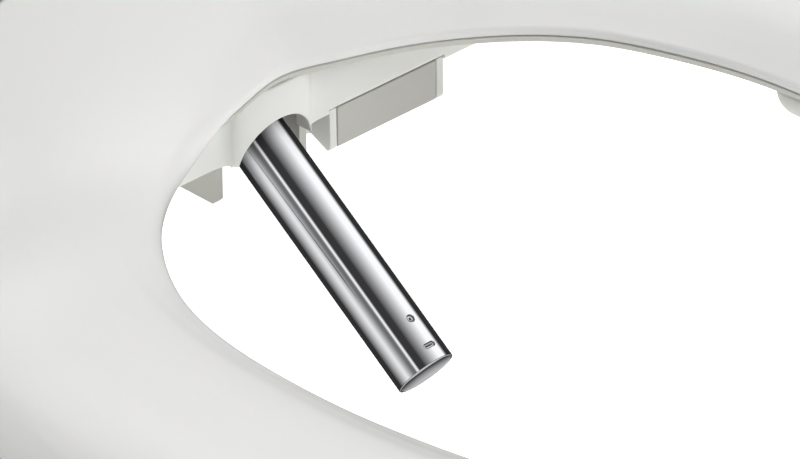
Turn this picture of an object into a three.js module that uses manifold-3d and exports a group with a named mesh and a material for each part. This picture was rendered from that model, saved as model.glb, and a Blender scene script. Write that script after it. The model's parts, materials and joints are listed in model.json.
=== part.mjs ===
// Electric bidet seat: a unit on a sliding bracket, with a heated seat, a lid, a chrome nozzle and a dryer.
// Millimetres. X runs across the bowl, +Y to the rear, +Z up. The origin lies on the bowl's deck,
// midway between the two mounting bolts. The lid is drawn open, the seat down and the nozzle out.

import * as THREE from 'three';
import { mergeVertices } from 'three/addons/utils/BufferGeometryUtils.js';
import Module from 'manifold-3d';

const wasm = await Module();
wasm.setup();

// Driving dimensions

const gap = 0.3;

const opening = {
  halfWidth: 110, centre: -189.7, rear: 117.7, front: 152.7, power: 2.04, rearPower: 2.38, frontPower: 2.38,
};
const outline = {
  halfWidth: 192, centre: -225, rear: 212.5, front: 200, power: 2.6, rearPower: 2.6, frontPower: 2.3,
};
const ringCentre = -200;
const ringSteps = 48;
const crownHeight = 33;
const liftStart = -110;
const liftEnd = -12.5;
const liftHeight = 29;
const liftPower = 1.8;
const rearSqueeze = 0.7;

const hinge = { y: 0, z: 61, radius: 10, barrelHalf: 86, seatLug: [88, 101], lidLug: [103, 118] };
const seatPin = { radius: 5, bore: 2.8, inner: 62 };
const lidPin = { radius: 2.5, inner: 68 };
const lidOpenAngle = 105;
const lidClearance = 3;
const lidThickness = 4.5;
const lidDome = 6;

const boltSpacing = 140;
const bracket = { halfWidth: 112, front: -16, rear: 60, thickness: 3 };
const deckThickness = 30;

const caseHalf = 185;
const caseRear = 104;
const caseTop = 102;
const wall = 3;
const trayFloor = 10.5;
const trayTop = 13;
const traySide = 30;
const shoulderInner = 121;
const shoulderFront = -25;

const apron = { front: -62, back: -59, bottom: -2.3, halfWidth: 97, sideTop: 15.5 };
const panelRear = { y: -13.5, z: 49.2 };

const nozzle = {
  tilt: 35.67, exitY: -62, exitZ: -3.8, radius: 9.6, bore: 7.4, out: 84, inside: 40,
  endWall: 3, hoodRadius: 13, travel: 84,
};
const rack = { halfWidth: 3.5, top: -10.1, pitchLine: -16.2, tipHeight: 0.65, rootDepth: 1.15, start: 4, end: 96 };
const pinion = { module: 1, teeth: 12, place: 92, halfWidth: 3, tipHeight: 0.9, rootDepth: 1.05, backlash: 0.3 };

const flap = { left: 29.9, right: 72.2, bottom: -15.2, top: -1.6, thickness: 1.8 };
const cheek = { outerLeft: 26.6, innerLeft: 29.6, innerRight: 72.5, outerRight: 75.5 };
const blower = { y: 52, z: 52, radius: 34, wall: 2.5, left: 30, right: 72 };
const impeller = { radius: 25, inner: 18, blades: 12 };

const consoleBox = { outer: -246, inner: -188, front: -95, rear: 60, bottom: 8, top: 34 };
const keyPlaces = { stop: -76, rear_wash: -54, front_wash: -32, dryer: -10 };
const keySize = { halfX: 17, halfY: 8, rise: 1.6 };
const dial = { x: -217, y: 24, radius: 15, height: 9 };

// Materials

function finish(color, roughness, metalness = 0) {
  return new THREE.MeshStandardMaterial({ color, roughness, metalness });
}

const whiteGloss = finish('#e6e6e3', 0.22);
const whiteSatin = finish('#dddedb', 0.45);
const greyPlastic = finish('#a8a8a0', 0.5);
const innerPlastic = finish('#cfd0cb', 0.6);
const rubber = finish('#d2d3ce', 0.8);
const chrome = finish('#c9ccd0', 0.08, 1);
const steel = finish('#a5a8ab', 0.35, 1);
const brass = finish('#b59a5b', 0.35, 1);
const circuitGreen = finish('#2f6b4a', 0.6);
const darkPlastic = finish('#2c2e31', 0.5);
const copperFoil = finish('#b98b5e', 0.4, 1);

// Solids

function toSolid(geometry) {
  const bare = geometry.clone();
  bare.deleteAttribute('normal');
  bare.deleteAttribute('uv');
  const merged = mergeVertices(bare, 1e-4);
  const vertProperties = new Float32Array(merged.attributes.position.array);
  const triVerts = new Uint32Array(merged.index.array);
  return new wasm.Manifold(new wasm.Mesh({ numProp: 3, vertProperties, triVerts }));
}

function toGeometry(solid) {
  const mesh = solid.getMesh();
  const geometry = new THREE.BufferGeometry();
  geometry.setAttribute('position', new THREE.BufferAttribute(new Float32Array(mesh.vertProperties), 3));
  geometry.setIndex(new THREE.BufferAttribute(new Uint32Array(mesh.triVerts), 1));
  geometry.computeVertexNormals();
  return geometry;
}

function join(...solids) {
  return solids.reduce((whole, solid) => whole.add(solid));
}

function cut(solid, ...tools) {
  return tools.reduce((rest, tool) => rest.subtract(tool), solid);
}

function box(x0, x1, y0, y1, z0, z1) {
  const geometry = new THREE.BoxGeometry(x1 - x0, y1 - y0, z1 - z0);
  geometry.translate((x0 + x1) / 2, (y0 + y1) / 2, (z0 + z1) / 2);
  return toSolid(geometry);
}

function outlineShape(points) {
  return new THREE.Shape(points.map(([a, b]) => new THREE.Vector2(a, b)));
}

// A flat outline of (y, z) points, drawn out along X.
function prismX(points, x0, x1) {
  const geometry = new THREE.ExtrudeGeometry(outlineShape(points), { depth: x1 - x0, bevelEnabled: false });
  const turn = new THREE.Matrix4();
  turn.makeBasis(new THREE.Vector3(0, 1, 0), new THREE.Vector3(0, 0, 1), new THREE.Vector3(1, 0, 0));
  geometry.applyMatrix4(turn);
  geometry.translate(x0, 0, 0);
  return toSolid(geometry);
}

// A flat outline of (x, y) points, drawn out along Z.
function prismZ(points, z0, z1) {
  const geometry = new THREE.ExtrudeGeometry(outlineShape(points), { depth: z1 - z0, bevelEnabled: false });
  geometry.translate(0, 0, z0);
  return toSolid(geometry);
}

function rodX(radius, x0, x1, y, z, sides = 24) {
  const geometry = new THREE.CylinderGeometry(radius, radius, x1 - x0, sides);
  geometry.rotateZ(-Math.PI / 2);
  geometry.translate((x0 + x1) / 2, y, z);
  return toSolid(geometry);
}

function rodY(radius, x, y0, y1, z, sides = 24) {
  const geometry = new THREE.CylinderGeometry(radius, radius, y1 - y0, sides);
  geometry.translate(x, (y0 + y1) / 2, z);
  return toSolid(geometry);
}

function rodZ(radius, x, y, z0, z1, sides = 24) {
  const geometry = new THREE.CylinderGeometry(radius, radius, z1 - z0, sides);
  geometry.rotateX(Math.PI / 2);
  geometry.translate(x, y, (z0 + z1) / 2);
  return toSolid(geometry);
}

function arc(centreY, centreZ, radius, from, to, steps) {
  return Array.from({ length: steps + 1 }, (_, index) => {
    const angle = THREE.MathUtils.degToRad(from + ((to - from) * index) / steps);
    return [centreY + radius * Math.cos(angle), centreZ + radius * Math.sin(angle)];
  });
}

function addPiece(parent, name, solid, material) {
  const mesh = new THREE.Mesh(toGeometry(solid), material);
  mesh.name = name;
  parent.add(mesh);
  return mesh;
}

// The seat ring is a grid: round the ring by angle, and round its section by points of
// [share of the ring's width from the opening, height].

function edgeValue(x, y, edge) {
  const length = y > edge.centre ? edge.rear : edge.front;
  const lengthPower = y > edge.centre ? edge.rearPower : edge.frontPower;
  return Math.abs(x / edge.halfWidth) ** edge.power + Math.abs((y - edge.centre) / length) ** lengthPower;
}

function reach(angle, edge) {
  let near = 0;
  let far = 400;
  for (let step = 0; step < 40; step += 1) {
    const middle = (near + far) / 2;
    const value = edgeValue(middle * Math.sin(angle), ringCentre + middle * Math.cos(angle), edge);
    if (value < 1) near = middle;
    else far = middle;
  }
  return near;
}

function rearRise(y) {
  return THREE.MathUtils.clamp((y - liftStart) / (liftEnd - liftStart), 0, 1);
}

function rearLift(y) {
  return liftHeight * rearRise(y) ** liftPower;
}

function ringPoint(angle, share, height) {
  const inner = reach(angle, opening);
  const outer = reach(angle, outline);
  const distance = inner + (outer - inner) * share;
  const y = ringCentre + distance * Math.cos(angle);
  const squeeze = 1 - rearSqueeze * rearRise(y) * Math.max(share, 0);
  return [distance * Math.sin(angle), y, crownHeight - (crownHeight - height) * squeeze + rearLift(y)];
}

function gridSolid(rows, count) {
  const positions = rows.flat(2);
  const index = [];
  for (let row = 0; row < rows.length; row += 1) {
    for (let column = 0; column < count; column += 1) {
      const nextRow = (row + 1) % rows.length;
      const nextColumn = (column + 1) % count;
      const a = row * count + column;
      const b = nextRow * count + column;
      const c = nextRow * count + nextColumn;
      const d = row * count + nextColumn;
      index.push(a, b, c, a, c, d);
    }
  }
  const geometry = new THREE.BufferGeometry();
  geometry.setAttribute('position', new THREE.BufferAttribute(new Float32Array(positions), 3));
  geometry.setIndex(index);
  return toSolid(geometry);
}

function ringSolid(section) {
  const rows = Array.from({ length: ringSteps }, (_, step) => {
    const angle = (step * 2 * Math.PI) / ringSteps;
    return section.map(([share, height]) => ringPoint(angle, share, height));
  });
  return gridSolid(rows, section.length);
}

const seatTopSection = [
  [0, 17.7], [0, 19.6], [0.01, 20.6], [0.03, 21.4], [0.12, 25.6], [0.25, 30.2], [0.45, 33], [0.65, 32.4],
  [0.82, 29.6], [0.93, 26], [0.985, 21], [1, 14.9], [0.965, 14.9], [0.955, 20], [0.9, 24.2], [0.8, 27.6],
  [0.62, 30.2], [0.45, 30.8], [0.26, 28], [0.13, 23], [0.045, 18.6], [0.022, 17.7],
];
const seatFoilSection = [
  [0.26, 26.3], [0.45, 29.1], [0.62, 28.5], [0.75, 26.9], [0.75, 26.5], [0.62, 28.1], [0.45, 28.7], [0.26, 25.9],
];
const seatBottomSection = [
  [0, 15.5], [0, 17.3], [0.045, 17.4], [0.13, 21.1], [0.26, 24.8], [0.45, 27.4], [0.62, 26.8], [0.8, 24],
  [0.89, 21.8], [0.935, 19.3], [0.962, 14.4], [1, 14.4], [1, 5], [0.955, 5], [0.93, 17], [0.82, 21.5],
  [0.66, 24], [0.5, 24.6], [0.3, 22.8], [0.14, 18.6], [0.05, 16.4], [0.022, 15.5],
];

// Seat

function seatLug(side) {
  const [inner, outer] = hinge.seatLug;
  const points = [
    ...arc(hinge.y, hinge.z, hinge.radius - 0.5, -60, 200, 16),
    [-24.5, 45.6], [-42, 40.6], [-42, 38], [-20, 38.6],
  ];
  const [x0, x1] = side > 0 ? [inner, outer] : [-outer, -inner];
  return prismX(points, x0, x1);
}

function makeSeat(parent) {
  const pinBore = rodX(seatPin.radius + gap, -110, 110, hinge.y, hinge.z);
  const bottom = cut(join(ringSolid(seatBottomSection), seatLug(1), seatLug(-1)), pinBore);
  addPiece(parent, 'seat_top_shell', ringSolid(seatTopSection), whiteGloss);
  addPiece(parent, 'seat_bottom_shell', bottom, innerPlastic);
  addPiece(parent, 'seat_heater_foil', ringSolid(seatFoilSection), copperFoil);
  for (const side of [-1, 1]) {
    const word = side > 0 ? 'left' : 'right';
    const pin = cut(
      rodX(seatPin.radius, seatPin.inner, hinge.seatLug[1] - 1, hinge.y, hinge.z),
      rodX(seatPin.bore, seatPin.inner - 1, hinge.seatLug[1], hinge.y, hinge.z, 16),
    );
    addPiece(parent, `seat_hinge_pin_${word}`, mirrorX(pin, side), steel);
  }
  const bumperSpots = { rear: [126, -178, 19.2], front: [104, -352, 24.2] };
  for (const [place, [x, y, top]] of Object.entries(bumperSpots)) {
    for (const side of [-1, 1]) {
      const word = side > 0 ? 'left' : 'right';
      addPiece(parent, `seat_bumper_${place}_${word}`, bumper(side * x, y, top), rubber);
    }
  }
}

function mirrorX(solid, side) {
  return side > 0 ? solid : solid.mirror([1, 0, 0]);
}

function bumper(x, y, top) {
  const half = [13, 17];
  const lower = box(x - half[0], x + half[0], y - half[1], y + half[1], 0.2, 14);
  const stem = box(x - 7, x + 7, y - 9, y + 9, 13, top - 3);
  return join(lower, stem);
}

// Lid, drawn closed; its group is turned open about the hinge.

function lidHeight(angle, share, top) {
  const distance = reach(angle, outline) * share;
  const y = ringCentre + distance * Math.cos(angle);
  const edgeDrop = share > 0.9 ? 5 * ((share - 0.9) / 0.1) : 0;
  const under = crownHeight + lidClearance + rearLift(y) - edgeDrop * (1 - rearRise(y));
  const dome = lidDome * (1 - share ** 2) * (1 - rearRise(y));
  return [distance * Math.sin(angle), y, under + dome + (top ? lidThickness : 0)];
}

function lidShell() {
  const steps = 32;
  const shares = [0.3, 0.55, 0.75, 0.9, 1];
  const section = [
    ...shares.map((share) => [share, true]),
    ...shares.map((share) => [share, false]).reverse(),
  ];
  const positions = [...lidHeight(0, 0, true), ...lidHeight(0, 0, false)];
  const index = [];
  const count = section.length;
  for (let step = 0; step < steps; step += 1) {
    const angle = (step * 2 * Math.PI) / steps;
    for (const [share, top] of section) positions.push(...lidHeight(angle, share, top));
  }
  for (let step = 0; step < steps; step += 1) {
    const here = 2 + step * count;
    const next = 2 + ((step + 1) % steps) * count;
    index.push(0, next, here);
    index.push(1, here + count - 1, next + count - 1);
    for (let column = 0; column < count - 1; column += 1) {
      index.push(here + column, next + column, next + column + 1);
      index.push(here + column, next + column + 1, here + column + 1);
    }
  }
  const geometry = new THREE.BufferGeometry();
  geometry.setAttribute('position', new THREE.BufferAttribute(new Float32Array(positions), 3));
  geometry.setIndex(index);
  return toSolid(geometry);
}

function lidLug(side) {
  const [inner, outer] = hinge.lidLug;
  const arm = [[-30, 62], [-52, 50.5], [-52, 48], [-30, 53.5]];
  const points = [...arc(hinge.y, hinge.z, hinge.radius - 0.5, -70, 110, 12), ...arm];
  const [x0, x1] = side > 0 ? [inner, outer] : [-outer, -inner];
  return prismX(points, x0, x1);
}

function makeLid(parent) {
  const group = new THREE.Group();
  group.position.set(0, hinge.y, hinge.z);
  group.rotation.x = -THREE.MathUtils.degToRad(lidOpenAngle);
  const closed = new THREE.Group();
  closed.position.set(0, -hinge.y, -hinge.z);
  group.add(closed);
  parent.add(group);
  const pinBore = rodX(lidPin.radius + gap, -130, 130, hinge.y, hinge.z, 16);
  addPiece(closed, 'lid_shell', cut(join(lidShell(), lidLug(1), lidLug(-1)), pinBore), whiteGloss);
  for (const side of [-1, 1]) {
    const word = side > 0 ? 'left' : 'right';
    const pin = rodX(lidPin.radius, lidPin.inner, hinge.lidLug[1] - 1, hinge.y, hinge.z, 16);
    addPiece(closed, `lid_hinge_pin_${word}`, mirrorX(pin, side), steel);
    addPiece(closed, `lid_bumper_${word}`, rodZ(6, side * 120, -330, 33.4, 36.9, 16), rubber);
  }
}

// Bracket

function boltSet(parent, side) {
  const word = side > 0 ? 'left' : 'right';
  const x = (side * boltSpacing) / 2;
  const shank = rodZ(3.5, x, 0, -62, 7, 16);
  const head = cut(rodZ(8, x, 0, 6.6, 9.6, 20), box(x - 9, x + 9, -0.9, 0.9, 8.4, 10));
  const holder = cut(rodZ(15, x, 0, 3.3, 6.3, 28), rodZ(3.8, x, 0, 3, 7, 16));
  const washer = cut(rodZ(14, x, 0, -deckThickness - 5, -deckThickness - gap, 24), rodZ(3.8, x, 0, -40, -29, 16));
  const nutBody = join(
    rodZ(9, x, 0, -deckThickness - 18, -deckThickness - 5.3, 6),
    box(x - 19, x + 19, -1.8, 1.8, -deckThickness - 17, -deckThickness - 8),
  );
  addPiece(parent, `bolt_${word}`, join(shank, head), steel);
  addPiece(parent, `bolt_holder_${word}`, holder, darkPlastic);
  addPiece(parent, `bolt_washer_${word}`, washer, rubber);
  addPiece(parent, `bolt_nut_${word}`, cut(nutBody, rodZ(3.8, x, 0, -60, -30, 16)), whiteSatin);
}

function makeBracket(parent) {
  const { halfWidth, front, rear, thickness } = bracket;
  const plate = cut(
    box(-halfWidth, halfWidth, front, rear, 0, thickness),
    ...[-1, 1].map((side) => {
      const x = (side * boltSpacing) / 2;
      return box(x - 9, x + 9, -4, 4, -1, thickness + 1);
    }),
    box(-34, 34, 16, 46, -1, thickness + 1),
  );
  addPiece(parent, 'mounting_plate', plate, whiteSatin);
  boltSet(parent, -1);
  boltSet(parent, 1);
}

// Casing

function nozzlePlace() {
  const matrix = new THREE.Matrix4().makeRotationX(THREE.MathUtils.degToRad(nozzle.tilt));
  matrix.setPosition(0, nozzle.exitY, nozzle.exitZ);
  return matrix;
}

function alongNozzle(solid) {
  return solid.transform(nozzlePlace().elements);
}

function baseTray() {
  const half = caseHalf - wall;
  const floor = prismZ([
    [-half, -22], [-97, -22], [-97, -56], [-26, -56], [-26, -4], [80, -4], [80, -22], [half, -22],
    [half, 101], [-half, 101],
  ], trayFloor, trayTop);
  const rim = cut(
    box(-half, half, -22, 101, trayFloor, traySide),
    box(-half + 2.5, half - 2.5, -30, 98.5, trayFloor - 1, traySide + 1),
  );
  const ribs = [-1, 1].flatMap((side) => [117, 178].map((x) => {
    const [x0, x1] = side > 0 ? [x, x + 4] : [-x - 4, -x];
    return box(x0, x1, -20, 99, 0.4, trayFloor + 1);
  }));
  return cut(
    join(floor, rim, ...ribs),
    rodX(8.4, 170, 190, 80, 21),
    rodX(7.4, 170, 190, 52, 21),
    box(170, 190, 14, 34, 15.7, 26.3),
    rodY(8.4, -150, 90, 110, 21),
  );
}

function topCover() {
  const outer = [
    [14.5, 31], [14.5, 72.5], [20, 90], [30, 98], [45, caseTop], [95, caseTop], [caseRear, 94], [caseRear, 31],
  ];
  const inner = [
    [17.5, 28], [17.5, 72], [22.6, 88], [31.5, 95], [45.5, 99], [93.7, 99], [101, 92.7], [101, 28],
  ];
  const shoulders = [-1, 1].map((side) => {
    const [x0, x1] = side > 0 ? [shoulderInner, caseHalf] : [-caseHalf, -shoulderInner];
    const rise = [[shoulderFront, 14], [shoulderFront, 58], [-15, 68], [16, 73]];
    return prismX([...rise, [16, 31], [-22.5, 31], [-22.5, 14]], x0, x1);
  });
  const hollows = [-1, 1].map((side) => {
    const [x0, x1] = side > 0 ? [shoulderInner + wall, caseHalf - wall] : [-caseHalf + wall, -shoulderInner - wall];
    return prismX([[-22, 13], [-22, 57], [-14, 65], [18, 69.5], [18, 13]], x0, x1);
  });
  return cut(
    join(prismX(outer, -caseHalf, caseHalf), ...shoulders),
    prismX(inner, -caseHalf + wall, caseHalf - wall),
    box(-shoulderInner + 0.5, shoulderInner - 0.5, 10, 18, 28, 70.6),
    ...hollows,
    box(caseHalf - 10, caseHalf + 5, -16, 10, 36, 58),
    box(-shoulderInner - 1, shoulderInner + 1, 100, 110, 28, 31.1),
  );
}

function hoodBump() {
  const half = [[-19, -61], [-19, apron.front], [-17, -62.5], [-14.5, -65.2], [-11, -66.6], [0, -66.9]];
  const mirrored = half.slice(0, -1).reverse().map(([x, y]) => [-x, y]);
  return prismZ([...half, ...mirrored], apron.bottom, 20);
}

function frontApron() {
  const { front, back, bottom, halfWidth, sideTop } = apron;
  const panel = prismX([
    [front, sideTop - 2], [front, sideTop + 0.5], [panelRear.y, panelRear.z],
    [panelRear.y, panelRear.z - 2.4], [back, sideTop - 2],
  ], -84, 84);
  const face = box(-halfWidth, halfWidth, front, back, bottom, sideTop);
  const middle = box(-24, 24, front, back, bottom, 20);
  const clearance = alongNozzle(rodY(nozzle.hoodRadius, 0, -40, 90, 0, 32));
  return cut(
    join(face, middle, hoodBump(), panel),
    clearance,
    box(cheek.outerLeft - gap, cheek.outerRight + gap, -70, -40, -10, -0.8),
    prismX([[-59.5, -3], [-59.5, 15], [-24, 39.5], [-20, -3]], cheek.outerLeft - gap, cheek.outerRight + gap),
  );
}

function hingeBarrel() {
  const half = hinge.barrelHalf;
  const clearance = alongNozzle(rodY(11, 0, 0, 130, 0, 32));
  const bores = [-1, 1].flatMap((side) => [
    mirrorX(rodX(seatPin.radius + gap, 58, half + 1, hinge.y, hinge.z), side),
    mirrorX(rodX(7.5, 24, 58, hinge.y, hinge.z), side),
  ]);
  const web = box(-half, half, 6, 14, 55, 70);
  return cut(join(rodX(hinge.radius, -half, half, hinge.y, hinge.z, 32), web), clearance, ...bores);
}

function makeCasing(parent) {
  addPiece(parent, 'base_tray', baseTray(), whiteSatin);
  addPiece(parent, 'top_cover', topCover(), whiteGloss);
  addPiece(parent, 'front_apron', frontApron(), whiteSatin);
  addPiece(parent, 'hinge_barrel', hingeBarrel(), whiteSatin);
  addPiece(parent, 'seat_damper', rodX(7.1, 25, 56, hinge.y, hinge.z), darkPlastic);
  addPiece(parent, 'lid_damper', rodX(7.1, -56, -25, hinge.y, hinge.z), darkPlastic);
}

// Nozzle, in its own frame: Y runs back up the tube from the hood, Z away from the tube's underside.

function rackBar() {
  const pitch = Math.PI * pinion.module;
  const tip = rack.pitchLine - rack.tipHeight;
  const root = rack.pitchLine + rack.rootDepth;
  const slope = Math.tan(THREE.MathUtils.degToRad(20));
  const halfPitchLine = pitch / 4 - pinion.backlash / 2;
  const halfTip = halfPitchLine - rack.tipHeight * slope;
  const halfRoot = halfPitchLine + rack.rootDepth * slope;
  const points = [[rack.end, rack.top], [rack.start, rack.top], [rack.start, root]];
  const first = Math.ceil((rack.start - pinion.place) / pitch + 0.5);
  const last = Math.floor((rack.end - pinion.place) / pitch - 0.5);
  for (let tooth = first; tooth < last; tooth += 1) {
    const centre = pinion.place + (tooth + 0.5) * pitch;
    points.push([centre - halfRoot, root], [centre - halfTip, tip], [centre + halfTip, tip], [centre + halfRoot, root]);
  }
  points.push([rack.end, root]);
  const plug = join(
    rodY(nozzle.radius - 0.2, 0, nozzle.inside + gap, nozzle.inside + 7, 0),
    box(-rack.halfWidth, rack.halfWidth, nozzle.inside + 1, nozzle.inside + 7, rack.top - 1, 0),
  );
  return join(prismX(points, -rack.halfWidth, rack.halfWidth), plug);
}

function involute(baseRadius, radius) {
  const roll = Math.sqrt((radius / baseRadius) ** 2 - 1);
  return roll - Math.atan(roll);
}

function pinionSolid() {
  const pitchRadius = (pinion.module * pinion.teeth) / 2;
  const baseRadius = pitchRadius * Math.cos(THREE.MathUtils.degToRad(20));
  const halfAtPitch = Math.PI / (2 * pinion.teeth) - pinion.backlash / (2 * pitchRadius);
  const radii = [
    pitchRadius - pinion.rootDepth, baseRadius, pitchRadius - 0.1, pitchRadius + 0.4, pitchRadius + pinion.tipHeight,
  ];
  const flank = radii.map((radius) => {
    const turn = involute(baseRadius, pitchRadius) - involute(baseRadius, Math.max(radius, baseRadius));
    return [radius, halfAtPitch + turn];
  });
  const points = [];
  for (let tooth = 0; tooth < pinion.teeth; tooth += 1) {
    const centre = Math.PI / 2 + (tooth * 2 * Math.PI) / pinion.teeth;
    const sides = [...flank.map(([radius, half]) => [radius, centre - half])];
    sides.push(...flank.slice().reverse().map(([radius, half]) => [radius, centre + half]));
    points.push(...sides.map(([radius, angle]) => [radius * Math.cos(angle), radius * Math.sin(angle)]));
  }
  const height = rack.pitchLine - pitchRadius;
  const wheel = prismX(points.map(([y, z]) => [pinion.place + y, height + z]), -pinion.halfWidth, pinion.halfWidth);
  return join(wheel, rodX(2, pinion.halfWidth - 1, 16, pinion.place, height, 16));
}

function nozzleTube() {
  const outside = rodY(nozzle.radius, 0, -nozzle.out, nozzle.inside, 0, 40);
  const bore = rodY(nozzle.bore, 0, -nozzle.out + nozzle.endWall, nozzle.inside + 1, 0, 28);
  const roundSeat = rodZ(2, 0, -nozzle.out + 14, 6, 12, 16);
  const slotSeat = box(-2.6, 2.6, -nozzle.out + 3.4, -nozzle.out + 6, 6, 12);
  return cut(outside, bore, roundSeat, slotSeat);
}

function sprayInserts(parent) {
  const round = cut(
    rodZ(1.7, 0, -nozzle.out + 14, 7.6, nozzle.radius - 0.1, 16),
    rodZ(0.6, 0, -nozzle.out + 14, 7, 11, 12),
  );
  const slot = cut(
    box(-2.1, 2.1, -nozzle.out + 3.75, -nozzle.out + 5.65, 7.6, nozzle.radius - 0.35),
    box(-1, 1, -nozzle.out + 4.4, -nozzle.out + 5, 7, 11),
  );
  addPiece(parent, 'spray_insert_round', round, steel);
  addPiece(parent, 'spray_insert_slot', slot, steel);
}

function nozzleGuide() {
  const sleeve = rodY(12, 0, 14, 56, 0, 32);
  const rails = [-1, 1].map((side) => mirrorX(box(4.2, 6.4, 15, 181, -18, -10.4), side));
  const endBar = box(-6.4, 6.4, 181, 184, -18, -10.4);
  const guide = alongNozzle(join(sleeve, endBar, ...rails));
  const fins = [-1, 1].map((side) => {
    const outlinePoints = [
      [-59.7, -2.8], [-59.7, -15], [-58.2, -16.5], [-38, -16.5], [-38, 6], [-58.6, 6], [-58.6, -2.8],
    ];
    return mirrorX(prismX(outlinePoints, 15.9, 18.9), side);
  });
  const bridge = box(-18, 18, -41, -38, -16.5, 6);
  const lane = join(rodY(10, 0, -60, 90, 0, 32), box(-3.9, 3.9, -30, 181, -18.5, -5));
  return cut(join(guide, bridge, ...fins), alongNozzle(lane));
}

function makeNozzle(parent) {
  const placed = new THREE.Group();
  placed.applyMatrix4(nozzlePlace());
  parent.add(placed);
  addPiece(placed, 'nozzle_tube', nozzleTube(), chrome);
  addPiece(placed, 'nozzle_rack', rackBar(), whiteSatin);
  addPiece(placed, 'drive_pinion', pinionSolid(), innerPlastic);
  sprayInserts(placed);
  addPiece(parent, 'nozzle_guide', nozzleGuide(), greyPlastic);
  const height = rack.pitchLine - (pinion.module * pinion.teeth) / 2;
  const motor = cut(
    rodX(12, 8, 27, pinion.place, height, 28),
    rodX(2.3, 7, 17, pinion.place, height, 16),
  );
  addPiece(placed, 'nozzle_motor', motor, steel);
}

// Dryer

function dryerDuct() {
  const outer = [
    [-62, -15.6], [-62, -1.1], [-58.6, -1.1], [-58.6, 4], [-52, 12],
    [-14, 41.5], [-9, 41.5], [-9, 22], [-24, 6], [-36, -4],
  ];
  const inner = [
    [-63, -15.55], [-63, -1], [-60.2, -1], [-50, 10.2], [-13.4, 38.8], [-8, 38.8],
    [-8, 25], [-25.6, 9.2], [-37.2, -1.4], [-59.9, -13.6], [-59.9, -15.55],
  ];
  const shell = prismX(outer, cheek.outerLeft, cheek.outerRight);
  return cut(shell, prismX(inner, cheek.innerLeft, cheek.innerRight));
}

function dryerFlap() {
  const y = apron.front;
  return box(flap.left, flap.right, y, y + flap.thickness, flap.bottom + 0.4, flap.top);
}

function blowerHousing() {
  const { y, z, radius, left, right } = blower;
  const shell = join(
    rodX(radius, left, right, y, z, 40),
    box(left, right, -8.5, y, z - radius, z - radius + 23),
  );
  const hollow = join(
    rodX(radius - blower.wall, left + blower.wall, right - blower.wall, y, z, 40),
    box(left + blower.wall, right - blower.wall, -10, y, z - radius + blower.wall, z - radius + 20.5),
  );
  return cut(shell, hollow, rodX(14, left - 1, left + 4, y, z), rodX(3, right - 4, right + 1, y, z, 16));
}

function impellerSolid() {
  const x0 = blower.left + 4;
  const x1 = blower.right - 4;
  const disc = rodX(impeller.radius, x1 - 3, x1, 0, 0, 32);
  const hub = rodX(5, x0 + 10, x1, 0, 0, 16);
  const shaft = rodX(2, x1 - 1, blower.right + 12, 0, 0, 16);
  const blades = Array.from({ length: impeller.blades }, (_, index) => {
    const blade = box(x0, x1 - 1, impeller.inner, impeller.radius - 0.6, -0.9, 0.9);
    return blade.rotate([(index * 360) / impeller.blades, 0, 0]);
  });
  return join(disc, hub, shaft, ...blades).translate([0, blower.y, blower.z]);
}

function makeDryer(parent) {
  addPiece(parent, 'dryer_duct', dryerDuct(), greyPlastic);
  addPiece(parent, 'dryer_flap', dryerFlap(), greyPlastic);
  addPiece(parent, 'blower_housing', blowerHousing(), innerPlastic);
  addPiece(parent, 'blower_impeller', impellerSolid(), darkPlastic);
  const motor = cut(
    rodX(14, blower.right + gap, blower.right + 26, blower.y, blower.z, 28),
    rodX(2.4, blower.right, blower.right + 14, blower.y, blower.z, 16),
  );
  addPiece(parent, 'blower_motor', motor, steel);
}

// Water and electrics

function makeInside(parent) {
  const heater = join(box(-112, -44, 30, 88, 14, 58), rodZ(5, -78, 46, 57, 66, 16), rodZ(5, -78, 74, 57, 66, 16));
  const valve = join(box(118, 162, 26, 54, 14, 34), rodZ(11, 140, 40, 33, 56, 20));
  const diverter = join(rodZ(12, -24, 66, 14, 30, 24), rodX(4, -43, -34, 66, 22, 12), rodZ(7, -24, 66, 29, 36, 16));
  const power = cut(box(112, 164, 66, 96, 14, 50), box(118, 158, 70, 92, 40, 51));
  const board = join(box(-174, -120, 26, 84, 17, 18.6), box(-160, -140, 40, 60, 18, 24), rodZ(5, -130, 72, 18, 32, 16));
  addPiece(parent, 'water_heater', heater, steel);
  addPiece(parent, 'inlet_valve', valve, darkPlastic);
  addPiece(parent, 'diverter_valve', diverter, innerPlastic);
  addPiece(parent, 'power_module', power, darkPlastic);
  addPiece(parent, 'control_board', board, circuitGreen);
  const inlet = cut(
    join(rodX(8, 172, 204, 80, 21), rodX(9.6, caseHalf - wall + gap, 189, 80, 21, 6)),
    rodX(4.5, 171, 205, 80, 21, 16),
  );
  addPiece(parent, 'inlet_fitting', inlet, brass);
  const plug = join(rodX(7, 172, 184, 52, 21), rodX(9.5, caseHalf - wall + gap, 188, 52, 21));
  addPiece(parent, 'drain_plug', cut(plug, box(186.5, 190, 44, 60, 20, 22)), whiteSatin);
  const gland = cut(
    join(rodY(8, -150, 92, 112, 21), rodY(9.6, -150, 101.3, 105, 21, 6)),
    rodY(4, -150, 91, 113, 21, 16),
  );
  addPiece(parent, 'cord_gland', gland, darkPlastic);
  const tray = cut(
    join(box(132, caseHalf - 0.4, -15.6, 9.6, 36.4, 57.6), box(caseHalf - 1, caseHalf + 2, -15.6, 9.6, 36.4, 57.6)),
    box(136, 176, -11, 5, 40, 60),
    box(caseHalf + 0.8, caseHalf + 3, -9, 3, 44, 50),
  );
  addPiece(parent, 'odour_filter_tray', tray, whiteSatin);
  addPiece(parent, 'release_button', box(172, caseHalf + 0.5, 14.4, 33.6, 16.1, 25.9), greyPlastic);
}

// Side console

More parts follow.
